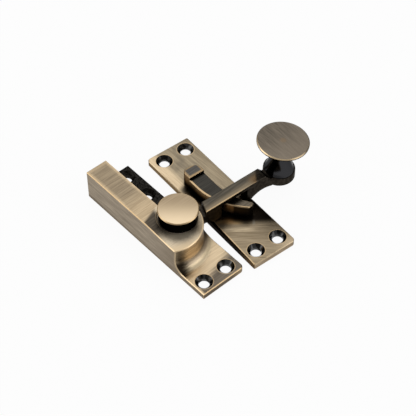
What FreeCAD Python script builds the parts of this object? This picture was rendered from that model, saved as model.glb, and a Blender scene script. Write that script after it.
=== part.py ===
import FreeCAD, Part
import math
import os

# Quadrant fastener for a sash window: a body casting with a swinging arm, and its keeper.
# The origin is midway between the two front screws, on the face that lies on the sash rail.
# +X runs from the body to the keeper, +Y along the body to its rear end, +Z up. Millimetres.

# Base plates
plate_thickness = 2.5
body_width = 20.8
body_length = 70.0
body_corner = 1.8
flange_thickness = 3.1
edge_break = 0.3

# Screw holes
screw_bore = 2.2
countersink_radius = 3.5
front_screw_spacing = 11.1
front_screw_side = 4.4
front_screw_end = 4.8
rear_screw_spacing = 12.7
rear_screw_side = 4.55
rear_screw_end = 4.7

# Spring case, the long bar on the body
bar_width = 9.8
bar_height = 14.0
bar_wall = 1.8
bar_roof = 2.0
bar_past_ramp = 0.54
ramp_length = 12.6
ramp_turn = 19.5
ramp_from_pivot = 5.1

# Pivot boss with its coved front
pivot_side = 12.2
pivot_front = 28.5
boss_height = 13.0
boss_roof = 3.0
boss_front_radius = 14.5
boss_centre_side = 6.84
boss_centre_ahead = 0.8
cove_foot = 4.2
cove_hollow = 0.3
slot_floor = 5.2

# Pivot spindle with its cap
journal_radius = 4.0
journal_clearance = 0.05
square_clearance = 0.05
square_side = 5.5
cap_radius = 8.1
cap_neck_radius = 7.75
cap_height = 5.4
cap_rim = 1.2
cap_edge = 0.35
cap_seat_clearance = 0.5
running_gap = 0.1

# Hub, cam, washer and riveted end, from the boss roof downwards
hub_radius = 7.0
hub_height = 4.4
hub_clearance = 0.4
cam_width = 11.0
cam_corner_radius = 6.5
cam_height = 2.8
washer_radius = 5.4
washer_thickness = 0.7
rivet_radius = 3.7
rivet_height = 0.8

# Leaf spring in the bar
spring_thickness = 0.8
spring_height = 2.6
spring_ahead = 7.0
spring_gap = 0.05
spring_slot_clearance = 0.05
web_thickness = 3.0
web_from_end = 7.0

# Keeper
keeper_side_gap = 3.32
keeper_drop = 2.24
keeper_turn = -3.88
keeper_width = 20.7
keeper_length = 70.0
keeper_corner = 1.6
keeper_sharp_corner = 0.5
keeper_screw_spacing = 10.9
keeper_screw_side = 5.2
keeper_front_screw_end = 5.5
keeper_rear_screw_end = 5.0
keeper_bar_side = 3.8
keeper_bar_height = 8.2
keeper_bar_width = 7.4
keeper_block_height = 9.65
keeper_block_length = 5.0
keeper_block_end = 51.1
keeper_block_round = 3.0
keeper_block_left_round = 2.0
keeper_tip_round = 0.6
keeper_left_straight = 42.0
keeper_left_radius = 29.3
keeper_right_straight = 38.0
keeper_right_radius = 28.0
keeper_tip_end = 20.4
keeper_tip_side = 21.3
keeper_tip_bulge = 0.4

# Arm
arm_rest_turn = -2.9
arm_open_gap = 0.3
arm_bar_gap = 0.85
arm_root_width = 5.3
rib_taper = 0.15
rib_thickness = 1.95
rib_start = 10.8
rib_slant = 2.05
leg_ground_gap = 0.8
leg_thickness = 2.3
leg_chamfer_length = 3.7
arch_height = 2.1
eye_from_bar_end = 8.8
eye_offset = 1.4
eye_radius = 6.6
eye_top_radius = 6.4
eye_height = 4.0
eye_bottom = 4.8
eye_top_ease = 0.9
eye_flare = 0.95
eye_flare_near = 0.7
rib_end_from_eye = 9.4
step_run = 2.4

# Knob
knob_lean = 3.0
knob_side_lean = 2.5
knob_height = 15.6
disc_radius = 10.6
disc_edge = 0.4
disc_rim = 1.2
bell_base_radius = 6.2
bell_middle_radius = 4.95
bell_middle = 3.3
neck_radius = 4.5
neck_start = 7.5
neck_end = 11.0
spigot_radius = 2.5
spigot_clearance = 0.05

# How far cutting tools reach past a face, and how near two points count as one
overcut = 1.0
touch = 0.01

# Places that follow from the sizes above
plate_left = -(front_screw_side + front_screw_spacing / 2)
plate_right = plate_left + body_width
plate_front = -front_screw_end
plate_rear = plate_front + body_length
bar_right = plate_left + bar_width
pivot_x = plate_left + pivot_side
pivot_y = plate_front + pivot_front
boss_centre_x = plate_left + boss_centre_side
boss_centre_y = pivot_y + boss_centre_ahead
boss_rear_radius = body_width - pivot_side
ramp_foot = pivot_y + ramp_from_pivot - ramp_length / math.cos(math.radians(ramp_turn))
roof_under = boss_height - boss_roof
hub_top = roof_under - running_gap
hub_bottom = hub_top - hub_height
cam_bottom = hub_bottom - cam_height
washer_bottom = cam_bottom - washer_thickness
ceiling = keeper_block_height + arm_open_gap
rib_top = ceiling + rib_thickness
leg_bottom = plate_thickness + leg_ground_gap
arm_far = pivot_side - bar_width - arm_bar_gap
arm_near = arm_far - arm_root_width
eye_reach = body_length - pivot_front + eye_from_bar_end
eye_top = eye_bottom + eye_height
rib_end = eye_reach - rib_end_from_eye


def vec(x, y, z=0.0):
    return FreeCAD.Vector(x, y, z)


def block(x0, x1, y0, y1, z0, z1):
    return Part.makeBox(x1 - x0, y1 - y0, z1 - z0, vec(x0, y0, z0))


def rod(x, y, radius, z0, z1):
    return Part.makeCylinder(radius, z1 - z0, vec(x, y, z0))


def prism(edges, z0, z1):
    face = Part.Face(Part.Wire(edges))
    solid = face.extrude(vec(0, 0, z1 - z0))
    solid.translate(vec(0, 0, z0))
    return solid


def line(a, b):
    return Part.LineSegment(vec(*a), vec(*b)).toShape()


def arc(a, middle, b):
    return Part.Arc(vec(*a), vec(*middle), vec(*b)).toShape()


def polygon(points):
    closed = points + [points[0]]
    return [line(a, b) for a, b in zip(closed, closed[1:])]


# Turns a half section, given as radius and height, about the upright axis through x, y
def turned(edges, x=0.0, y=0.0):
    face = Part.Face(Part.Wire(edges))
    face.rotate(vec(0, 0), vec(1, 0), 90)
    solid = face.revolve(vec(0, 0), vec(0, 0, 1), 360)
    solid.translate(vec(x, y))
    return solid


def near(a, b):
    return abs(a - b) < touch


def upright_edges(shape, corners):
    chosen = []
    for edge in shape.Edges:
        a, b = edge.Vertexes[0].Point, edge.Vertexes[-1].Point
        if near(a.z, b.z):
            continue
        if any(near(math.hypot(a.x - x, a.y - y), 0) for x, y in corners):
            chosen.append(edge)
    return chosen


# Breaks the sharp edges whose every point passes the test
def eased(shape, size, test):
    chosen = [edge for edge in shape.Edges if all(test(p) for p in edge.discretize(5))]
    return shape.makeChamfer(size, chosen) if chosen else shape


def screw_hole(x, y, top):
    depth = countersink_radius - screw_bore
    bore = rod(x, y, screw_bore, -overcut, top + overcut)
    sink = Part.makeCone(screw_bore, countersink_radius, depth, vec(x, y, top - depth))
    above = rod(x, y, countersink_radius, top, top + overcut)
    return bore.fuse([sink, above])


# Base plate of the body, with its rounded front corner beside the keeper
def body_plate():
    plate = block(plate_left, plate_right, plate_front, plate_rear, 0, plate_thickness)
    return plate.makeFillet(body_corner, upright_edges(plate, [(plate_right, plate_front)]))


# Thicker flange behind the boss, left rough from the mould
def flange():
    def edge(p):
        return near(p.z, flange_thickness) and (near(p.x, plate_right) or near(p.y, plate_rear))

    plain = block(pivot_x, plate_right, pivot_y, plate_rear, 0, flange_thickness)
    return eased(plain, edge_break, edge)


# Front of the boss: a cove turned about a centre near the bar
def boss_front():
    r = boss_front_radius
    wall = r - cove_hollow
    foot = wall + cove_foot
    bend = plate_thickness + cove_foot
    s = cove_foot * math.sqrt(0.5)
    edges = [
        line((0, 0), (foot, 0)),
        line((foot, 0), (foot, plate_thickness)),
        arc((foot, plate_thickness), (foot - s, bend - s), (wall, bend)),
        line((wall, bend), (r, boss_height)),
        line((r, boss_height), (0, boss_height)),
        line((0, boss_height), (0, 0)),
    ]
    full = turned(edges, boss_centre_x, boss_centre_y)
    return full.common(block(plate_left, plate_right, plate_front, pivot_y, 0, boss_height))


def boss_rear():
    return rod(pivot_x, pivot_y, boss_rear_radius, 0, boss_height)


# Spring case: the bar reaches forward into the boss, past the foot of its ramp
def bar_block():
    return block(plate_left, bar_right, ramp_foot - bar_past_ramp, plate_rear, 0, bar_height)


# What is cut above the ramp that leads from the bar down to the boss
def ramp_cut():
    above = bar_height + 5
    far = ramp_length + body_length
    points = [
        (0, bar_height),
        (ramp_length, boss_height),
        (far, boss_height),
        (far, above),
        (0, above),
    ]
    face = Part.Face(Part.Wire(polygon(points)))
    face.rotate(vec(0, 0), vec(1, 0), 90)
    wedge = face.extrude(vec(0, 2 * body_length, 0))
    wedge.translate(vec(0, -body_length, 0))
    wedge.rotate(vec(0, 0), vec(0, 0, 1), ramp_turn - 90)
    wedge.translate(vec(plate_left, pivot_y + ramp_from_pivot, 0))
    return wedge


# Hollow under the body: the hub's well, the spring's channel and the slot for the arm's root
def body_hollow():
    well = rod(pivot_x, pivot_y, hub_radius + hub_clearance, -overcut, roof_under)
    left = plate_left + bar_wall
    right = bar_right - bar_wall
    web_rear = plate_rear - web_from_end
    web_front = web_rear - web_thickness
    bar_under = bar_height - bar_roof
    ramp_end = pivot_y + ramp_from_pivot + bar_wall
    low = block(left, right, pivot_y - spring_ahead - hub_clearance, ramp_end, -overcut, roof_under)
    front = block(left, right, ramp_end, web_front, -overcut, bar_under)
    rear = block(left, right, web_rear, plate_rear - bar_wall, -overcut, bar_under)
    centre = spring_centre()
    half = spring_thickness / 2 + spring_slot_clearance
    groove = block(centre - half, centre + half, web_front, web_rear, -overcut, spring_top())
    slot_near = pivot_y + arm_near - hub_clearance
    slot_near += math.sin(math.radians(arm_rest_turn)) * boss_rear_radius
    slot_far = pivot_y + 2 * boss_rear_radius
    slot = block(bar_right, plate_right + overcut, slot_near, slot_far, slot_floor, roof_under)
    bearing = rod(pivot_x, pivot_y, journal_radius + journal_clearance, 0, boss_height + overcut)
    return well.fuse([low, front, rear, groove, slot, bearing])


def spring_centre():
    return pivot_x - cam_width / 2 - spring_gap - spring_thickness / 2


def spring_top():
    return cam_bottom + (cam_height + spring_height) / 2


# Edges of the body that the eye and the hand meet, each as a test for a point
def left_edge(p):
    return near(p.x, plate_left) and p.z > plate_thickness - touch


def boss_edge(p):
    reach = math.hypot(p.x - boss_centre_x, p.y - boss_centre_y)
    return near(p.z, boss_height) and near(reach, boss_front_radius)


def plate_edge(p):
    corner = math.hypot(p.x - plate_right + body_corner, p.y - plate_front - body_corner)
    outer = near(p.y, plate_front) or near(p.x, plate_right) or near(corner, body_corner)
    return near(p.z, plate_thickness) and outer


def bar_end_edge(p):
    top = near(p.z, bar_height) and near(p.y, plate_rear)
    return top or near(p.x, plate_left) and near(p.y, plate_rear)


def body_outside():
    solid = body_plate().fuse([flange(), boss_front(), boss_rear(), bar_block()]).removeSplitter()
    solid = solid.cut(ramp_cut()).removeSplitter()

    def edge(p):
        return left_edge(p) or boss_edge(p) or plate_edge(p) or bar_end_edge(p)

    return eased(solid, edge_break, edge)


def body_casting():
    seat = rod(pivot_x, pivot_y, cap_radius + cap_seat_clearance, boss_height, bar_height + overcut)
    solid = body_outside().cut([seat, body_hollow()])
    front_y = 0.0
    rear_x = plate_right - rear_screw_side
    rear_y = plate_rear - rear_screw_end
    holes = [screw_hole(side * front_screw_spacing / 2, front_y, plate_thickness) for side in (-1, 1)]
    holes += [screw_hole(rear_x, rear_y - row * rear_screw_spacing, flange_thickness) for row in (0, 1)]
    return solid.cut(holes)


def flat_spring():
    half = spring_thickness / 2
    x = spring_centre()
    top = spring_top()
    front = pivot_y - spring_ahead
    rear = plate_rear - web_from_end
    return block(x - half, x + half, front, rear, top - spring_height, top)


# Moves a shape from the keeper's own corner to its place beside the body
def placed_keeper(shape):
    shape.rotate(vec(0, 0), vec(0, 0, 1), keeper_turn)
    shape.translate(vec(plate_right + keeper_side_gap, plate_front - keeper_drop, 0))
    return shape


# Point on an arc that leaves a straight face and bends towards +X, at the height y
def bent(side, start, radius, y):
    return side + radius - math.sqrt(radius ** 2 - (start - y) ** 2)


def keeper_tip():
    right = keeper_bar_side + keeper_bar_width
    tip_left = bent(keeper_bar_side, keeper_left_straight, keeper_left_radius, keeper_tip_end)
    tip_right = bent(right, keeper_right_straight, keeper_right_radius, keeper_tip_side)
    return tip_left, tip_right


# Plan of the keeper's bar: straight beside the block, then curved towards its tapered tip
def keeper_outline():
    left = keeper_bar_side
    right = left + keeper_bar_width
    tip_left, tip_right = keeper_tip()
    left_middle_y = (keeper_left_straight + keeper_tip_end) / 2
    right_middle_y = (keeper_right_straight + keeper_tip_side) / 2
    left_middle = bent(left, keeper_left_straight, keeper_left_radius, left_middle_y)
    right_middle = bent(right, keeper_right_straight, keeper_right_radius, right_middle_y)
    tip_middle_y = (keeper_tip_end + keeper_tip_side) / 2 - keeper_tip_bulge
    return [
        line((left, keeper_block_end), (left, keeper_left_straight)),
        arc((left, keeper_left_straight), (left_middle, left_middle_y), (tip_left, keeper_tip_end)),
        arc((tip_left, keeper_tip_end), ((tip_left + tip_right) / 2, tip_middle_y),
            (tip_right, keeper_tip_side)),
        arc((tip_right, keeper_tip_side), (right_middle, right_middle_y),
            (right, keeper_right_straight)),
        line((right, keeper_right_straight), (right, keeper_block_end)),
        line((right, keeper_block_end), (left, keeper_block_end)),
    ]


# The raised bar and the higher end stop on it
def keeper_bar():
    left = keeper_bar_side
    right = left + keeper_bar_width
    block_front = keeper_block_end - keeper_block_length
    bar = prism(keeper_outline(), 0, keeper_bar_height)
    stop = block(left, right, block_front, keeper_block_end, 0, keeper_block_height)
    raised = bar.fuse(stop).removeSplitter()
    raised = raised.makeFillet(keeper_block_round, upright_edges(raised, [(right, keeper_block_end)]))
    raised = raised.makeFillet(keeper_block_left_round, upright_edges(raised, [(left, keeper_block_end)]))
    tip_left, tip_right = keeper_tip()
    tip = [(tip_left, keeper_tip_end), (tip_right, keeper_tip_side)]
    raised = raised.makeFillet(keeper_tip_round, upright_edges(raised, tip))

    def edge(p):
        on_bar = near(p.z, keeper_bar_height) and p.y < block_front - touch
        return near(p.z, keeper_block_height) or on_bar

    return eased(raised, edge_break, edge)


def keeper_plate():
    plate = block(0, keeper_width, 0, keeper_length, 0, plate_thickness)
    rounded = [(0, keeper_length), (keeper_width, 0)]
    sharp = [(0, 0), (keeper_width, keeper_length)]
    plate = plate.makeFillet(keeper_corner, upright_edges(plate, rounded))
    plate = plate.makeFillet(keeper_sharp_corner, upright_edges(plate, sharp))
    plate = eased(plate, edge_break, lambda p: near(p.z, plate_thickness))
    holes = []
    for y in (keeper_front_screw_end, keeper_length - keeper_rear_screw_end):
        holes.append(screw_hole(keeper_screw_side, y, plate_thickness))
        holes.append(screw_hole(keeper_screw_side + keeper_screw_spacing, y, plate_thickness))
    return placed_keeper(plate.fuse(keeper_bar()).removeSplitter().cut(holes))


# Nearest and farthest distance of the keeper's bar from the pivot axis
def keeper_reach():
    bar = placed_keeper(keeper_bar())
    axis = Part.LineSegment(vec(pivot_x, pivot_y), vec(pivot_x, pivot_y, body_length)).toShape()
    nearest = bar.distToShape(axis)[0]
    farthest = 0.0
    for edge in bar.Edges:
        for point in edge.discretize(20):
            farthest = max(farthest, math.hypot(point.x - pivot_x, point.y - pivot_y))
    return nearest, farthest


# Moves a shape from the arm's own frame, with the pivot at zero and the arm along +X
def placed_arm(shape):
    shape.rotate(vec(0, 0), vec(0, 0, 1), arm_rest_turn)
    shape.translate(vec(pivot_x, pivot_y, 0))
    return shape


# Axis of the knob, which leans outwards along the arm and a little to the near side
def along_knob(shape):
    shape.rotate(vec(0, 0), vec(0, 1, 0), knob_lean)
    shape.rotate(vec(0, 0), vec(1, 0, 0), knob_side_lean)
    shape.translate(vec(eye_reach, -eye_offset, eye_top))
    return shape


# Plan of the rib, from its slanted start to the flare beside the eye
def rib_plan(far_leg):
    inside = eye_reach - eye_radius / 2
    return polygon([
        (rib_start, arm_near),
        (far_leg, arm_near),
        (eye_reach - eye_radius, arm_near - eye_flare_near),
        (inside, arm_near - eye_flare),
        (inside, arm_far - rib_taper),
        (rib_end, arm_far - rib_taper),
        (rib_start + rib_slant, arm_far),
    ])


# Cuts the arm's side view: the chamfered inner leg, the arch to the eye and the step above it
def side_cuts(far_outer):
    wide = 20
    deep = -5
    heel = Part.Wire(polygon([
        (rib_start - overcut, hub_bottom), (rib_start, hub_bottom),
        (rib_start + leg_chamfer_length, leg_bottom), (rib_start + leg_chamfer_length, deep),
        (rib_start - overcut, deep)]))
    arch_end = eye_reach - eye_radius
    arch_middle = (far_outer + arch_end) / 2
    inside = eye_reach + eye_radius
    arch = Part.Wire([
        arc((far_outer, leg_bottom), (arch_middle, leg_bottom + arch_height), (arch_end, eye_bottom)),
        line((arch_end, eye_bottom), (inside, eye_bottom)),
        line((inside, eye_bottom), (inside, deep)),
        line((inside, deep), (far_outer, deep)),
        line((far_outer, deep), (far_outer, leg_bottom)),
    ])
    lean = math.tan(math.radians(knob_lean))
    foot = eye_top + lean * (rib_end_from_eye - step_run)
    beyond = eye_top - lean * eye_radius
    above = rib_top + eye_radius
    step = Part.Wire(polygon([
        (rib_end, rib_top), (rib_end + step_run, foot), (inside, beyond),
        (inside, above), (rib_end, above)]))
    tools = []
    for wire in (heel, arch, step):
        face = Part.Face(wire)
        face.rotate(vec(0, 0), vec(1, 0), 90)
        tool = face.extrude(vec(0, 2 * wide, 0))
        tool.translate(vec(0, -wide, 0))
        tools.append(tool)
    tools[-1].rotate(vec(eye_reach, -eye_offset, eye_top), vec(1, 0, 0), knob_side_lean)
    return tools


# Ring at the arm's end, drawn in at the top, which is square to the knob's axis
def arm_eye():
    shoulder = eye_top - eye_top_ease
    top = eye_top + eye_top_ease
    ring = turned(polygon([
        (0, eye_bottom),
        (eye_radius, eye_bottom),
        (eye_radius, shoulder),
        (eye_top_radius, top),
        (0, top),
    ]), eye_reach, -eye_offset)
    above = along_knob(rod(0, 0, 3 * eye_radius, 0, 3 * eye_radius))
    return ring.cut(above)


def arm():
    nearest, farthest = keeper_reach()
    inner_leg = nearest - arm_open_gap
    outer_leg = farthest + arm_open_gap
    far_outer = outer_leg + leg_thickness
    rib = prism(rib_plan(far_outer), leg_bottom, rib_top)
    rib = eased(rib, edge_break, lambda p: near(p.z, rib_top))
    channel = rod(0, 0, outer_leg, 0, ceiling).cut(rod(0, 0, inner_leg, 0, ceiling))
    rib = rib.cut([channel] + side_cuts(far_outer))
    root = block(0, rib_start + rib_slant, arm_near, arm_far, hub_bottom, hub_top)
    hub = rod(0, 0, hub_radius, hub_bottom, hub_top)
    solid = hub.fuse([root, rib, arm_eye()]).removeSplitter()
    half = square_side / 2 + square_clearance
    square = block(-half, half, -half, half, 0, rib_top)
    spigot_hole = along_knob(rod(0, 0, spigot_radius + spigot_clearance, -3 * eye_height, overcut))
    return placed_arm(solid.cut([square, spigot_hole]))


# Spindle: cap button, round journal in the boss, square through the hub, and riveted end
def pivot_spindle():
    seat = boss_height + running_gap
    top = seat + cap_height
    rim = top - cap_rim
    outline = polygon([
        (0, hub_top),
        (journal_radius, hub_top),
        (journal_radius, seat),
        (cap_neck_radius, seat),
        (cap_neck_radius, rim),
        (cap_radius, rim),
        (cap_radius, top - cap_edge),
        (cap_radius - cap_edge, top),
        (0, top),
    ])
    half = square_side / 2
    square = block(-half, half, -half, half, washer_bottom, hub_top)
    rivet = rod(0, 0, rivet_radius, washer_bottom - rivet_height, washer_bottom)
    return placed_arm(turned(outline).fuse([square, rivet]).removeSplitter())


# Cam: a square with rounded corners, whose flats hold the arm open or closed
def detent_cam():
    half = cam_width / 2
    cam = block(-half, half, -half, half, cam_bottom, hub_bottom)
    cam = cam.common(rod(0, 0, cam_corner_radius, cam_bottom, hub_bottom))
    cam.rotate(vec(0, 0), vec(0, 0, 1), -arm_rest_turn)
    side = square_side / 2 + square_clearance
    return placed_arm(cam.cut(block(-side, side, -side, side, 0, hub_bottom)))


def pivot_washer():
    side = square_side / 2 + square_clearance
    disc = rod(0, 0, washer_radius, washer_bottom, cam_bottom)
    return placed_arm(disc.cut(block(-side, side, -side, side, 0, hub_bottom)))


# Knob: a thin broad disc on a neck that widens into a bell over the eye
def knob():
    rim = knob_height - disc_rim
    tilt = math.tan(math.radians(math.hypot(knob_lean, knob_side_lean)))
    spigot_end = eye_bottom - eye_top + tilt * spigot_radius
    bell = arc((bell_base_radius, 0), (bell_middle_radius, bell_middle), (neck_radius, neck_start))
    points = [
        (neck_radius, neck_start),
        (neck_radius, neck_end),
        (disc_radius - disc_edge, rim),
        (disc_radius, rim + disc_edge),
        (disc_radius, knob_height - disc_edge),
        (disc_radius - disc_edge, knob_height),
        (0, knob_height),
        (0, spigot_end),
        (spigot_radius, spigot_end),
        (spigot_radius, 0),
        (bell_base_radius, 0),
    ]
    edges = [line(a, b) for a, b in zip(points, points[1:])]
    return placed_arm(along_knob(turned([bell] + edges)))


parts = {
    "body_casting": body_casting(),
    "flat_spring": flat_spring(),
    "keeper_plate": keeper_plate(),
    "arm": arm(),
    "pivot_spindle": pivot_spindle(),
    "detent_cam": detent_cam(),
    "pivot_washer": pivot_washer(),
    "knob": knob(),
}

os.makedirs("parts", exist_ok=True)
for name, shape in parts.items():
    shape.exportStep("parts/" + name + ".step")
    print(name, len(shape.Solids), shape.isValid(), round(shape.Volume, 1))
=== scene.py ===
import math

import bmesh
import bpy
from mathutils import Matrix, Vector

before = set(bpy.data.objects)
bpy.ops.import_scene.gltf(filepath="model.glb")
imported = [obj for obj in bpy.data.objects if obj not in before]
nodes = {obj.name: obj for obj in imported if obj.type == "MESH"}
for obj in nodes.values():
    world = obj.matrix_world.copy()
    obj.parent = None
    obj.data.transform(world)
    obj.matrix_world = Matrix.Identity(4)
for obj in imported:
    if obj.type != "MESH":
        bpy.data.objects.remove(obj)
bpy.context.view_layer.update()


# Body casting: the long spring case, the pivot boss with its coved front, and the base plate.
# Cast brass, blackened all over and then brushed back, so the black stays in corners, in the
# countersinks and on the rough flange behind the boss. Plain sizes are millimetres.
millimetre = 0.001


class Shade:
    """A shader socket to reckon with, so that 1 - mask and a * b add their own Math nodes."""

    def __init__(self, tree, socket=None):
        self.tree = tree
        self.socket = socket

    def node(self, kind, settings, inputs, output=0):
        made = self.tree.nodes.new("ShaderNode" + kind)
        for key, value in settings.items():
            setattr(made, key, value)
        for key, value in inputs.items():
            if isinstance(value, Shade):
                self.tree.links.new(value.socket, made.inputs[key])
            else:
                made.inputs[key].default_value = value
        return Shade(self.tree, made.outputs[output] if made.outputs else None)

    def math(self, operation, *values):
        return self.node("Math", {"operation": operation}, dict(enumerate(values)))

    def __add__(self, other):
        return self.math("ADD", self, other)

    def __sub__(self, other):
        return self.math("SUBTRACT", self, other)

    def __rsub__(self, other):
        return self.math("SUBTRACT", other, self)

    def __mul__(self, other):
        return self.math("MULTIPLY", self, other)

    __radd__ = __add__
    __rmul__ = __mul__

    def most(self, other):
        return self.math("MAXIMUM", self, other)

    def least(self, other):
        return self.math("MINIMUM", self, other)

    def off(self, other):
        """How far this is from another value, either way."""
        return self.math("ABSOLUTE", self - other)

    def rise(self, low, high):
        """0 up to the low value, 1 from the high one, smooth between; a high below low falls."""
        inputs = {"Value": self, "From Min": low, "From Max": high}
        return self.node("MapRange", {"interpolation_type": "SMOOTHSTEP"}, inputs)

    def blend(self, first, second):
        """Mixes two colours by this mask."""
        inputs = {"Factor": self, 6: first, 7: second}
        return self.node("Mix", {"data_type": "RGBA"}, inputs, 2)

    def tinted(self, dark, light):
        """Turns brush marks into colour, from the dark of a line to the light of the metal."""
        return self.rise(0.3, 0.7).blend(dark, light)


def rgb(red, green, blue):
    """A colour as it shows on screen, from 0 to 255, turned into the shader's linear values."""
    def linear(value):
        return ((value / 255 + 0.055) / 1.055) ** 2.4 if value > 10 else value / 255 / 12.92
    return linear(red), linear(green), linear(blue), 1.0


def new_material(name):
    material = bpy.data.materials.new(name)
    material.use_nodes = True
    material.node_tree.nodes.clear()
    return material, Shade(material.node_tree)


def place_of(start):
    """The place on the object, as three values in millimetres."""
    place = start.node("TexCoord", {}, {}, "Object")
    return [place.node("SeparateXYZ", {}, {0: place}, axis) * (1 / millimetre) for axis in "XYZ"]


def facing_of(start):
    """Which way the face looks, as three values from -1 to 1."""
    facing = start.node("TexCoord", {}, {}, "Normal")
    return [facing.node("SeparateXYZ", {}, {0: facing}, axis) for axis in "XYZ"]


def reach_from(x, y, centre):
    away_x = x - centre[0]
    away_y = y - centre[1]
    return x.math("SQRT", away_x * away_x + away_y * away_y)


def turned(x, y, point, degrees):
    """How far a place is from a point, along and across a line that is turned from +X."""
    cosine = math.cos(math.radians(degrees))
    sine = math.sin(math.radians(degrees))
    away_x = x - point[0]
    away_y = y - point[1]
    return away_x * cosine + away_y * sine, away_y * cosine - away_x * sine


def mottle(start, marks, detail=2.0, distortion=0.0, degrees=0.0):
    """Noise with its own number of marks in a metre along X, Y and Z, turned from +X."""
    place = start.node("TexCoord", {}, {}, "Object")
    rotation = (0.0, 0.0, math.radians(-degrees))
    straight = start.node("Mapping", {}, {"Vector": place, "Rotation": rotation})
    drawn = start.node("Mapping", {}, {"Vector": straight, "Scale": marks})
    inputs = {"Vector": drawn, "Scale": 1.0, "Detail": detail, "Roughness": 0.6, "Distortion": distortion}
    return start.node("TexNoise", {}, inputs)


def brushed(start, axis, degrees=0.0, distortion=0.0):
    """Brush marks along one axis: fine lines, with broader bands among them."""
    fine = [2300.0] * 3
    broad = [520.0] * 3
    fine[axis] = 110.0
    broad[axis] = 40.0
    lines = mottle(start, fine, 2.0, distortion, degrees)
    bands = mottle(start, broad, 2.0, distortion, degrees)
    return lines * 0.7 + bands * 0.3


def cast_grain(start, marks=1300.0):
    return mottle(start, (marks, marks, marks))


def glints(start):
    """Patches of gloss in the black countersinks, which make them glint."""
    return mottle(start, (420.0, 420.0, 420.0), 0.0).rise(0.45, 0.6)


edge_width = 0.4 * millimetre
corner_reach = 4.0 * millimetre
mark_depth = 0.1 * millimetre


def worn_edge(start):
    """1 on edges, where the brush has cut through to bright metal, and 0 on flat faces."""
    rounded = start.node("Bevel", {"samples": 12}, {"Radius": edge_width})
    plain = start.node("NewGeometry", {}, {}, "Normal")
    same = start.node("VectorMath", {"operation": "DOT_PRODUCT"}, {0: rounded, 1: plain}, "Value")
    return (1 - same).rise(0.02, 0.16)


def openness(start):
    """1 in the open and towards 0 in corners and recesses, where the blackening stays."""
    settings = {"samples": 8, "only_local": True}
    return start.node("AmbientOcclusion", settings, {"Distance": corner_reach}, "AO")


sink_radius = 3.5


def screw_sinks(x, y, centres):
    """Masks of the black countersinks and of the thin bright rim round each."""
    nearest = reach_from(x, y, centres[0])
    for centre in centres[1:]:
        nearest = nearest.least(reach_from(x, y, centre))
    sinks = nearest.rise(sink_radius + 0.06, sink_radius - 0.04)
    return sinks, nearest.rise(sink_radius + 0.45, sink_radius + 0.1) * 0.6


def finish_surface(start, material, colour, roughness, height, bump, coat=0.0):
    """Metal with its brush marks raised a little, and a clear gloss where it has a coat."""
    raised = start.node("Bump", {}, {"Strength": bump, "Distance": mark_depth, "Height": height})
    inputs = {"Base Color": colour, "Roughness": roughness, "Metallic": 1.0, "Normal": raised,
              "Specular Tint": (0.5, 0.5, 0.5, 1.0), "Coat Weight": coat, "Coat Roughness": 0.12}
    shader = start.node("BsdfPrincipled", {}, inputs)
    start.node("OutputMaterial", {}, {"Surface": shader})
    return material


def dress(piece, material):
    """Gives a piece its finish in place of the plain one that it comes with."""
    nodes[piece].data.materials.clear()
    nodes[piece].data.materials.append(material)


bright_edge = rgb(228, 203, 164)
golden_edge = rgb(196, 169, 130)

plate_top = 2.5
plate_left = -9.95
plate_front = -4.8
plate_rear = 65.2
case_right = -0.15
ramp_crest = 28.8
ramp_turn = 19.5
pivot = (2.25, 23.7)
boss_top = 13.0
boss_roof_under = 10.0
boss_centre = (-3.11, 24.5)
boss_radius = 14.5
front_screw_spacing = 11.1
front_screws = ((-front_screw_spacing / 2, 0.0), (front_screw_spacing / 2, 0.0))


def case_colour(x, y, across):
    """Top of the spring case: brushed across, worn bright at its edges, and painted with a sheen that
    grows lighter towards the ramp.
    """
    brass = across.tinted(rgb(128, 114, 94), rgb(158, 142, 118))
    left_rub = x.rise(plate_left + 1.75, plate_left + 0.35) * 0.8
    right_rub = x.rise(case_right - 1.65, case_right - 0.25) * 0.8
    rear_rub = y.rise(plate_rear - 2.7, plate_rear - 0.2) * 0.7
    # Painted sheen: the top is painted lighter towards the ramp end, laid over the worn edges
    rubbed_and_lit = (y.rise(48.0, 35.0) * 0.7).most(left_rub).most(right_rub).most(rear_rub)
    return rubbed_and_lit.blend(brass, across.tinted(rgb(180, 158, 127), rgb(206, 184, 150)))


def boss_colour(x, y, across, from_boss, painted_light_before_cap):
    """Top of the boss and the ramp: painted light before the cap, and painted shade on the left of it."""
    brass = across.tinted(rgb(200, 183, 156), rgb(224, 207, 179))
    brass = x.rise(-2.0, 5.0).blend(brass, across.tinted(rgb(134, 121, 101), rgb(164, 149, 126)))
    # Painted light on the boss top before the cap, where the cap's black side is reflected
    brass = painted_light_before_cap.blend(brass, rgb(238, 223, 197))
    towards_rim = from_boss.rise(boss_radius - 4.5, boss_radius - 0.3) * x.rise(4.0, -6.0)
    brass = towards_rim.blend(brass, rgb(208, 186, 152))
    # Painted shade and reflection: the boss top is darker left of the cap
    shade_left_of_cap = x.rise(-1.0, -4.0) * (y - x * 0.5).rise(21.5, 28.5)
    return shade_left_of_cap.blend(brass, across.tinted(rgb(66, 60, 52), rgb(90, 82, 71)))


def body_top_colour(x, y, across, from_boss, painted_light_before_cap):
    """The case up to the ramp's crest, the boss beyond it, and the boss's bright front edge."""
    behind_crest = turned(x, y, (plate_left, ramp_crest), ramp_turn)[1]
    beyond_crest = behind_crest.rise(1.7, 0.3).most(x.rise(case_right - 0.45, case_right + 0.15))
    case = case_colour(x, y, across)
    top = beyond_crest.blend(case, boss_colour(x, y, across, from_boss, painted_light_before_cap))
    front_edge = from_boss.rise(boss_radius - 0.6, boss_radius - 0.3) * y.rise(25.0, 21.0)
    return front_edge.blend(top, bright_edge)


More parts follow.
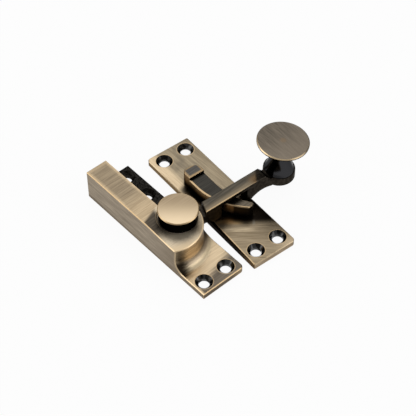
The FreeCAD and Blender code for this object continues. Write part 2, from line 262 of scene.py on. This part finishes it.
def cove_colour(z, across, round_boss, left_end):
    """The boss's coved front: golden in the middle, painted shade on its right, greyer low down, a
    painted pale sheen at its foot, painted shade by the arm.
    """
    cove = across.tinted(rgb(194, 170, 138), rgb(236, 214, 180))
    # Painted shade on the right of the cove
    cove = round_boss.rise(0.3, 0.75).blend(cove, rgb(195, 166, 130))
    cove = (z.rise(5.7, 4.8) * 0.8).blend(cove, rgb(160, 145, 124))
    # Painted sheen: the foot of the cove is painted pale
    foot = z.rise(plate_top + 1.2, plate_top + 0.4)
    cove = foot.blend(cove, across.tinted(rgb(234, 212, 174), rgb(246, 226, 190)))
    # Painted shade and reflection of the arm at the cove's right end
    arm_end = round_boss.rise(0.8, 1.1) * round_boss.rise(2.2, 1.6) * z.rise(3.6, 5.0)
    cove = arm_end.blend(cove, rgb(72, 54, 34))
    return (left_end * 0.8).blend(cove, rgb(104, 92, 74))


def front_plate_colour(x, y, across):
    """The plate before the cove: bright, with painted shade in a band round the screws, and golden at its
    edge.
    """
    plate = across.tinted(rgb(192, 171, 140), rgb(215, 194, 161))
    inside_edge = x.rise(plate_left + 0.35, plate_left + 1.35)
    # Painted shade: a darker band along the plate's front, round the screws
    shade_round_screws = (y - x * 0.28 + across * 3.0).rise(5.0, 0.8) * inside_edge
    plate = shade_round_screws.blend(plate, across.tinted(rgb(90, 82, 72), rgb(120, 110, 97)))
    return y.rise(plate_front + 0.5, plate_front + 0.2).blend(plate, golden_edge)


def body_side_colour(x, y, z, ny, across, along):
    """Left side brushed lengthwise and dark at its foot, ends brushed across."""
    side = along.tinted(rgb(140, 128, 113), rgb(184, 170, 150))
    side = (z.rise(plate_top - 0.1, 0.2) * 0.6).blend(side, rgb(92, 80, 66))
    side_by_boss = across.tinted(rgb(117, 104, 89), rgb(149, 134, 115))
    side = (y.rise(26.0, 8.0) * 0.8).blend(side, side_by_boss)
    front_end = (x + along).rise(4.0, 10.0).blend(rgb(104, 93, 80), rgb(150, 131, 104))
    rear_end = across.tinted(rgb(140, 128, 113), rgb(184, 170, 150))
    side = ny.rise(-0.75, -0.9).blend(side, front_end)
    return ny.rise(0.75, 0.9).blend(side, rear_end)


def body_finish():
    material, start = new_material("relieved_brass_casting")
    x, y, z = place_of(start)
    nx, ny, nz = facing_of(start)
    across = brushed(start, 0)
    along = brushed(start, 1)
    from_boss = reach_from(x, y, boss_centre)
    round_boss = x.math("ARCTAN2", x - boss_centre[0], boss_centre[1] - y)
    # Where the boss top is painted lighter before the cap, and made a little rougher
    painted_light_before_cap = reach_from(x, y, pivot).rise(14.0, 9.0) * y.rise(22.0, 17.0) * x.rise(4.0, -1.0)

    # Cove and front plate, with the dark left corner of the cove
    left_end = (round_boss + across * 0.3).rise(0.1, -0.2)
    cove = cove_colour(z, across, round_boss, left_end)
    on_plate = z.rise(plate_top + 0.12, plate_top + 0.02)
    lower = on_plate.blend(cove, front_plate_colour(x, y, across))
    left_corner = left_end * z.rise(6.6, 4.6) * from_boss.rise(boss_radius + 6.3, boss_radius + 4.1)
    lower = left_corner.blend(lower, rgb(46, 38, 29))

    upper = body_top_colour(x, y, across, from_boss, painted_light_before_cap)
    colour = z.rise(boss_top - 0.4, boss_top - 0.3).blend(lower, upper)
    upright = nx.off(0.0).rise(0.75, 0.9).most(ny.rise(0.75, 0.9))
    upright = upright.most(z.rise(plate_top - 0.2, plate_top - 0.4))
    colour = upright.blend(colour, body_side_colour(x, y, z, ny, across, along))

    # Edges and rims where the brush cut through, and corners that it didn't reach
    left_edge = x.rise(plate_left + 0.5, plate_left + 0.27) * (1 - upright)
    colour = left_edge.blend(colour, y.rise(28.0, 17.0).blend(golden_edge, bright_edge))
    opened = openness(start)
    colour = opened.rise(0.3, 0.8).blend(rgb(46, 38, 30), colour)
    sinks, rims = screw_sinks(x, y, front_screws)
    worn = rims.most(worn_edge(start) * opened.rise(0.6, 0.9))
    colour = worn.blend(colour, golden_edge)

    # Flange, countersinks and underside as they left the mould and the black bath
    flange = x.rise(case_right - 0.25, case_right + 0.25) * y.rise(22.5, 24.5)
    flange = flange * z.rise(boss_roof_under - 0.05, boss_roof_under - 0.3)
    black = flange.most(sinks).most(nz.rise(-0.3, -0.7))
    grain = cast_grain(start)
    colour = black.blend(colour, grain.tinted(rgb(16, 15, 14), rgb(52, 50, 47)))
    roughness = 0.38 + flange * 0.12 - sinks * 0.2 + painted_light_before_cap * 0.1
    texture = across * (1 - flange) + grain * flange
    return finish_surface(start, material, colour, roughness, texture, 0.14, sinks * glints(start))


dress("body_casting", body_finish())


# Keeper: a flat plate cast in the same brass, with a curved, tapered bar that draws the arm in
# and an end stop. Brushed lengthwise behind the arm and in loose strokes in front, while the bar
# The brown, black and pale bands round the arm are painted reflection and shade of the arm.
keeper_corner = (14.17, -7.04)
keeper_turn = -3.88
keeper_screws = [(side, length) for side in (5.2, 16.1) for length in (5.5, 65.0)]
bar_left = 3.8
bend_start = 42.0
bend_radius = 29.3
block_top = 9.65
block_front = 46.1
block_middle = (7.5, 48.6)
block_half_size = (3.7, 2.5)
block_left_foot = (2.6, 47.0)
# The loose strokes run level across the photograph's view, and the brown, black and pale bands
# round the arm were placed along them from that view
stroke_turn = -42.0


def rear_plate_colour(along, clouds, side_way, length_way):
    """Behind the arm: brushed lengthwise, cloudy at the far end and golden on the left."""
    plate = along.tinted(rgb(124, 112, 93), rgb(158, 144, 120))
    cloudy = clouds.rise(0.4, 0.7) * length_way.rise(50.0, 56.0) * 0.6
    plate = cloudy.blend(plate, rgb(98, 91, 80))
    plate = (side_way.rise(16.0, 20.0) * 0.4).blend(plate, rgb(100, 89, 72))
    golden = side_way.rise(6.0, 2.5) * length_way.rise(26.0, 40.0)
    return golden.blend(plate, along.tinted(rgb(184, 164, 134), rgb(204, 184, 153)))


def front_plate_strokes(loose, side_way, length_way, along_stroke, off_stroke):
    """In front of the arm: loose strokes, paler in the right corner, and a pale band of painted sheen."""
    plate = loose.tinted(rgb(120, 106, 85), rgb(154, 139, 115))
    right_corner = length_way.rise(7.0, 0.0) * side_way.rise(10.0, 18.0)
    plate = right_corner.blend(plate, rgb(176, 158, 131))
    # Painted sheen: a pale band across the plate near the arm
    pale_band = off_stroke.rise(20.38, 21.44) * off_stroke.rise(23.82, 22.76)
    pale_band = pale_band * along_stroke.rise(17.0, 12.0) * loose.rise(0.35, 0.6)
    return pale_band.blend(plate, rgb(178, 161, 134))


def shade_round_arm(plate, y, loose, along_stroke, off_stroke):
    """Painted light and shade round the arm, as the photograph shows them: brown, then black with a pale
    streak.
    """
    # Painted reflection: a brown band beside the arm
    brown = off_stroke.rise(24.08, 25.67) * along_stroke.rise(12.0, 9.0) * y.rise(23.0, 19.0)
    plate = brown.blend(plate, rgb(190, 160, 117))
    # Painted shade: black under and beside the arm, fixed on the plate
    shade_under_arm = (off_stroke + loose * 2.65).rise(26.73, 30.17) * y.rise(27.0, 22.0)
    plate = shade_under_arm.blend(plate, rgb(38, 31, 24))
    # Painted reflection: a pale streak in the shade
    streak = along_stroke.rise(14.4, 15.2) * along_stroke.rise(16.2, 15.4)
    streak = streak * off_stroke.rise(23.82, 25.94) * off_stroke.rise(30.44, 27.79)
    return streak.blend(plate, rgb(148, 139, 122))


def bar_top_colour(z, across, side_way, length_way, from_bend):
    """Tops of the bar and the stop: nearly black, with golden edges, a lighter tip and a painted shadow
    just before the stop.
    """
    top = across.tinted(rgb(47, 45, 42), rgb(63, 61, 56))
    tip = length_way.rise(28.0, 24.0)
    top = tip.blend(top, across.tinted(rgb(80, 73, 63), rgb(106, 97, 84)))
    # Painted shadow on the bar's top just before the stop
    top = length_way.rise(block_front - 1.7, block_front - 0.1).blend(top, rgb(18, 17, 15))
    left_edge = from_bend.rise(bend_radius - 0.8, bend_radius - 0.35)
    left_edge = left_edge * length_way.rise(block_front + 0.3, block_front)
    top = left_edge.blend(top, golden_edge)
    block = across.tinted(rgb(68, 65, 62), rgb(89, 86, 81))
    near_sides = side_way.off(block_middle[0]).rise(block_half_size[0] - 1.2, block_half_size[0] - 0.5)
    near_ends = length_way.off(block_middle[1]).rise(block_half_size[1] - 1.1, block_half_size[1] - 0.4)
    block = near_sides.most(near_ends).blend(block, rgb(138, 118, 90))
    return z.rise(block_top - 0.55, block_top - 0.25).blend(top, block)


def bar_side_colour(z, ny, length_way):
    """Bar sides: rubbed brown above painted shade at the foot, brown lower near the arm, painted light by
    the arm, dark tip.
    """
    near_arm = length_way.rise(32.0, 29.0)
    # Painted shade darkens the foot of the side, and the top is rubbed brown
    rubbed_and_lit = z.rise(3.6, 8.2).most(z.rise(2.8, 5.5) * near_arm)
    side = rubbed_and_lit.blend(near_arm.blend(rgb(22, 17, 12), rgb(44, 34, 24)), rgb(137, 113, 83))
    # Painted light: a brighter brown patch by the arm, against the arm's shadow
    brown = length_way.rise(32.0, 30.0) * z.rise(2.7, 4.5)
    side = brown.blend(side, rgb(196, 164, 124))
    side = length_way.rise(25.4, 24.4).blend(side, rgb(72, 62, 50))
    step = ny.rise(-0.7, -0.9) * length_way.rise(block_front - 0.3, block_front - 0.1)
    return step.blend(side, rgb(18, 16, 14))


def plate_side_colour(y, nx, across):
    """Upright faces of the plate: the left one painted black with shade beside the body, browner at both
    ends, the others bright.
    """
    # Painted shade on the left face, beside the body
    left_side = y.rise(26.0, 46.0).blend(rgb(20, 15, 11), rgb(128, 106, 76))
    left_side = y.rise(4.0, -6.0).blend(left_side, rgb(90, 70, 46))
    other_side = across.tinted(rgb(134, 116, 94), rgb(172, 154, 130))
    return nx.rise(-0.6, -0.85).blend(other_side, left_side)


def keeper_finish():
    material, start = new_material("relieved_brass_keeper")
    x, y, z = place_of(start)
    nx, ny, nz = facing_of(start)
    across = brushed(start, 0)
    along = brushed(start, 1)
    loose = brushed(start, 0, stroke_turn, 0.6)
    clouds = mottle(start, (120.0, 90.0, 120.0), 2.0, 0.2)
    side_way, length_way = turned(x, y, keeper_corner, keeper_turn)
    along_stroke, off_stroke = turned(x, y, (0.0, 0.0), stroke_turn)

    plate = length_way.rise(24.0, 34.0).blend(
        front_plate_strokes(loose, side_way, length_way, along_stroke, off_stroke),
        rear_plate_colour(along, clouds, side_way, length_way))
    plate = shade_round_arm(plate, y, loose, along_stroke, off_stroke)

    # Left margin of the front: a black band that widens towards the arm, part painted shade of the gap
    # beside the body and part black on the edge, then a golden line
    margin = side_way - length_way * 0.037
    front_part = length_way.rise(38.0, 32.0)
    plate = (margin.rise(0.65, 0.3) * front_part).blend(plate, golden_edge)
    plate = (margin.rise(0.2, 0.0) * front_part).blend(plate, rgb(20, 16, 12))

    # The bar's left face is straight beside the stop, and then bends round a centre on its right
    bend_centre = (bar_left + bend_radius, bend_start)
    from_bend = reach_from(side_way, length_way.least(bend_start), bend_centre)
    # Painted shadows on the plate: by the stop's left foot, and beside the bar's left face
    shadow_by_stop = reach_from(side_way, length_way, block_left_foot).rise(3.6, 0.8)
    plate = shadow_by_stop.blend(plate, rgb(88, 79, 66))
    shadow_beside_bar = from_bend.rise(bend_radius + 4.1, bend_radius + 0.5)
    shadow_beside_bar = shadow_beside_bar * from_bend.rise(bend_radius - 2.3, bend_radius - 0.8)
    plate = (shadow_beside_bar * length_way.rise(49.0, 44.0)).blend(plate, rgb(30, 25, 20))

    bar_top = bar_top_colour(z, across, side_way, length_way, from_bend)
    bar = nz.rise(0.5, 0.9).blend(bar_side_colour(z, ny, length_way), bar_top)
    plate_side = plate_side_colour(y, nx, across)
    plate = z.rise(plate_top - 0.2, plate_top - 0.4).blend(plate, plate_side)
    colour = z.rise(plate_top + 0.15, plate_top + 0.45).blend(plate, bar)

    # Corners keep their black, and edges are rubbed bright except the black left margin
    opened = openness(start)
    colour = opened.rise(0.3, 0.85).blend(rgb(24, 20, 16), colour)
    sinks, rims = screw_sinks(side_way, length_way, keeper_screws)
    off_margin = side_way.rise(0.4, 0.8).most(1 - front_part)
    worn = rims.most(worn_edge(start) * opened.rise(0.6, 0.9) * off_margin)
    colour = worn.blend(colour, golden_edge)
    black = sinks.most(nz.rise(-0.3, -0.7))
    colour = black.blend(colour, cast_grain(start).tinted(rgb(14, 13, 12), rgb(38, 36, 33)))
    roughness = 0.32 - sinks * 0.14
    return finish_surface(start, material, colour, roughness, across, 0.12, sinks * glints(start))


dress("keeper_plate", keeper_finish())


# Arm: one brass casting, with the hub, the rib over the keeper, two legs and the knob's eye.
# Its sides keep their black. The rib's top has been brushed lengthwise, down to bright metal
# along its near edge.
arm_turn = -2.9
rib_start = 10.8
rib_end = 40.9
rib_near = -3.75
rib_top = 11.9


def arm_finish():
    material, start = new_material("blackened_brass_arm")
    x, y, z = place_of(start)
    nz = facing_of(start)[2]
    marks = brushed(start, 0)
    outwards, sideways = turned(x, y, pivot, arm_turn)
    top = marks.tinted(rgb(62, 58, 51), rgb(92, 86, 76))
    worn_near = sideways.rise(-0.6, rib_near + 0.35) * 0.55
    worn_start = outwards.rise(rib_start + 4.2, rib_start + 0.7) * 0.15
    top = worn_near.most(worn_start).blend(top, rgb(146, 130, 106))
    bronze = outwards.rise(33.0, 36.5) * sideways.rise(1.0, -2.5)
    top = bronze.blend(top, rgb(112, 91, 67))
    edge = sideways.rise(rib_near + 0.5, rib_near + 0.25)
    edge = edge.most(outwards.rise(rib_start + 0.7, rib_start + 0.4))
    top = (edge * outwards.rise(34.0, 22.0) * 0.7).blend(top, rgb(170, 145, 109))
    before_step = (outwards - sideways * 0.7).rise(rib_end - 1.3, rib_end - 2.7)
    on_rib = nz.rise(0.4, 0.6) * z.rise(rib_top - 0.7, rib_top - 0.5) * before_step
    grain = cast_grain(start, 900.0)
    colour = on_rib.blend(grain.tinted(rgb(34, 30, 26), rgb(54, 49, 43)), top)
    texture = marks * on_rib + grain * (1 - on_rib)
    return finish_surface(start, material, colour, 0.34, texture, 0.12)


dress("arm", arm_finish())


# Pivot spindle: a turned brass pin whose broad cap sits on the boss. The cap's face is brushed,
# with a painted sheen brightest on the side nearest the photograph's camera, and its own side is black.
cap_radius = 8.1
cap_top = 18.4
# Level direction of the photograph's line of sight, which sets the bright side of cap and disc
sight_turn = 48.2


def cap_finish():
    material, start = new_material("brushed_cap")
    x, y, z = place_of(start)
    marks = brushed(start, 0)
    face = marks.tinted(rgb(142, 125, 101), rgb(160, 142, 117))
    from_viewer = turned(x, y, pivot, sight_turn)[0]
    # Painted sheen: the face is painted brighter on the side towards the line of sight
    sheen_near_viewer = (from_viewer + marks * 3.0).rise(7.0, -7.5)
    face = sheen_near_viewer.blend(face, rgb(220, 199, 166))
    rim = reach_from(x, y, pivot).rise(cap_radius - 0.5, cap_radius - 0.25)
    face = rim.blend(face, golden_edge)
    on_face = z.rise(cap_top - 0.3, cap_top - 0.2)
    colour = on_face.blend(rgb(8, 8, 8), face)
    return finish_surface(start, material, colour, 0.3 + on_face * 0.04, marks, 0.08)


dress("pivot_spindle", cap_finish())


# Knob: turned in one piece from brass, a thin broad disc over a neck that swells into a bell.
# The disc's face is brushed, with a painted highlight along its edge on the side nearest the
# photograph's camera, and the neck is glossy black.
knob_axis = (53.18, 19.01)
disc_lowest = 22.0


def knob_finish():
    material, start = new_material("brushed_knob")
    x, y, z = place_of(start)
    nz = facing_of(start)[2]
    marks = brushed(start, 1)
    face = marks.tinted(rgb(82, 76, 68), rgb(116, 107, 95))
    face = (y.rise(28.0, 10.0) * 0.6).blend(face, rgb(134, 123, 109))
    centre_mark = reach_from(x, y, knob_axis).rise(1.8, 0.6) * 0.4
    face = centre_mark.blend(face, rgb(128, 106, 80))
    from_viewer = turned(x, y, knob_axis, sight_turn)[0]
    # Painted highlight: the disc's edge is painted bright on the side towards the line of sight
    rim = nz.rise(0.97, 0.92) * from_viewer.rise(4.0, -3.0)
    face = rim.blend(face, bright_edge)
    on_face = nz.rise(0.6, 0.72) * z.rise(disc_lowest + 0.3, disc_lowest + 0.5)
    colour = on_face.blend(rgb(54, 54, 56), face)
    below_face = z.rise(disc_lowest - 1.0, disc_lowest) * (1 - on_face)
    colour = below_face.blend(colour, rgb(38, 29, 20))
    return finish_surface(start, material, colour, 0.14 + on_face * 0.2, marks, 0.08)


dress("knob", knob_finish())


# Leaf spring, cam and washer inside the body, all of plain steel, a little dull. The spring is
# a hardened strip that bears on the cam, and the cam rides on the spindle's square above the
# washer.
def steel_finish():
    material, start = new_material("plain_steel")
    marks = brushed(start, 1)
    steel = marks.tinted(rgb(96, 96, 98), rgb(150, 150, 152))
    return finish_surface(start, material, steel, 0.45, marks, 0.1)


plain_steel = steel_finish()
for inner_piece in ("flat_spring", "detent_cam", "pivot_washer"):
    dress(inner_piece, plain_steel)


# Studio floor and room: a white board just under the object, in a pale room. The board looks
# white to the eye and in the brass, and still takes the object's shadow. Here, and for the lamps
# and the camera, sizes are metres.
floor_half_width = 2.0
floor_drop = 0.02 * millimetre
white_share = 0.94


def floor_finish():
    material, start = new_material("white_floor")
    camera_ray = start.node("LightPath", {}, {}, "Is Camera Ray")
    glossy_ray = start.node("LightPath", {}, {}, "Is Glossy Ray")
    board = start.node("BsdfDiffuse", {}, {"Color": (0.92, 0.92, 0.92, 1.0)})
    white = start.node("Emission", {}, {"Color": (1.0, 1.0, 1.0, 1.0), "Strength": 1.0})
    seen = camera_ray.most(glossy_ray) * white_share
    surface = start.node("MixShader", {}, {0: seen, 1: board, 2: white})
    start.node("OutputMaterial", {}, {"Surface": surface})
    return material


floor_mesh = bpy.data.meshes.new("floor")
shape = bmesh.new()
bmesh.ops.create_grid(shape, x_segments=1, y_segments=1, size=floor_half_width)
bmesh.ops.translate(shape, verts=shape.verts, vec=(0.0, 0.0, -floor_drop))
shape.to_mesh(floor_mesh)
shape.free()
floor_mesh.materials.append(floor_finish())
floor = bpy.data.objects.new("floor", floor_mesh)
bpy.context.scene.collection.objects.link(floor)

world = bpy.data.worlds.new("studio")
bpy.context.scene.world = world
world.use_nodes = True
world.node_tree.nodes.clear()
room = Shade(world.node_tree)
pale_room = room.node("Background", {}, {"Color": (1.0, 1.0, 1.0, 1.0), "Strength": 0.45})
room.node("OutputWorld", {}, {"Surface": pale_room})


# Lamps: three broad soft squares, to the left, to the right and behind.
# Their light is plain and even, with no hard edge to a shadow.
def stand(name, fitting_data, azimuth, elevation, distance, centre):
    """Stands a lamp or the camera at its angles from +X and from the floor, facing a centre."""
    turn = math.radians(azimuth)
    tilt = math.radians(elevation)
    flat = math.cos(tilt)
    back = Vector((math.cos(turn) * flat, math.sin(turn) * flat, math.sin(tilt)))
    fitting = bpy.data.objects.new(name, fitting_data)
    fitting.location = centre + back * distance
    fitting.rotation_euler = back.to_track_quat("Z", "Y").to_euler()
    bpy.context.scene.collection.objects.link(fitting)
    return fitting


object_middle = Vector((0.02, 0.028, 0.01))
lamp_size = 0.5


def softbox(name, azimuth, elevation, distance, watts):
    lamp = bpy.data.lights.new(name, "AREA")
    lamp.shape = "SQUARE"
    lamp.size = lamp_size
    lamp.energy = watts
    stand(name, lamp, azimuth, elevation, distance, object_middle)


softbox("left", 147.0, 28.0, 0.7, 1.2)
softbox("right", -57.0, 30.0, 0.7, 1.2)
softbox("back", 52.0, 50.0, 0.8, 0.9)


# Camera: at the photograph's own viewing angle and distance, from the front left and above.
# Its narrow lens takes in the whole set with white all round.
camera_azimuth = -131.76
camera_elevation = 49.11
camera_distance = 0.5463
lens_angle = 17.33
aim = Vector((0.02163, 0.02817, 0.0))

lens = bpy.data.cameras.new("camera")
lens.angle = math.radians(lens_angle)
lens.clip_start = 0.01
camera = stand("camera", lens, camera_azimuth, camera_elevation, camera_distance, aim)
bpy.context.scene.camera = camera
bpy.context.scene.view_settings.view_transform = "Standard"
